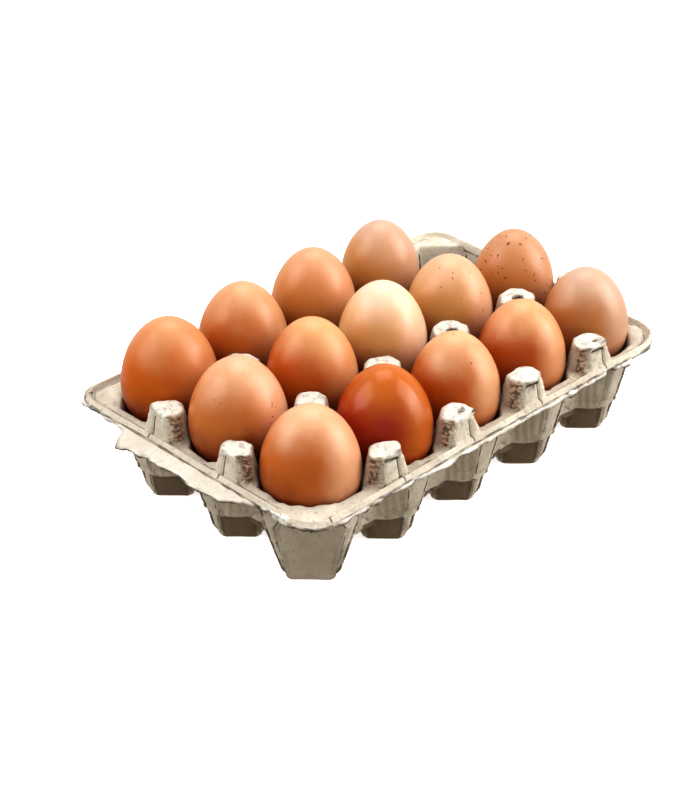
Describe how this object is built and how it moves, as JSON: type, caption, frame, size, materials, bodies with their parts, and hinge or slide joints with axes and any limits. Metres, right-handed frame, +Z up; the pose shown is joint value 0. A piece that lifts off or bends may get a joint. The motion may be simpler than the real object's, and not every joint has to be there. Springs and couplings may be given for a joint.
{
  "type": "egg tray with eggs",
  "caption": "Moulded pulp tray of octagonal pockets between tall posts, with brown hen's eggs standing in all but one of them.",
  "frame": {"origin": "middle of the outline, torn flap included, at the height of the pockets' feet", "axes": "+X along the rows of five pockets, away from the side with the torn flap; +Y along the rows of three; +Z up"},
  "size_m": [0.2606, 0.1664, 0.0931],
  "materials": {
    "pulp": "rough moulded grey paper pulp",
    "eggshell": "brown eggshell, slightly glossy with fine pores"
  },
  "bodies": {
    "root": {"tray": "pulp", "egg_1_1": "eggshell", "egg_2_1": "eggshell", "egg_3_1": "eggshell", "egg_4_1": "eggshell", "egg_5_1": "eggshell", "egg_1_2": "eggshell", "egg_2_2": "eggshell", "egg_3_2": "eggshell", "egg_4_2": "eggshell", "egg_5_2": "eggshell", "egg_1_3": "eggshell", "egg_2_3": "eggshell", "egg_3_3": "eggshell", "egg_4_3": "eggshell"}
  },
  "joints": []
}
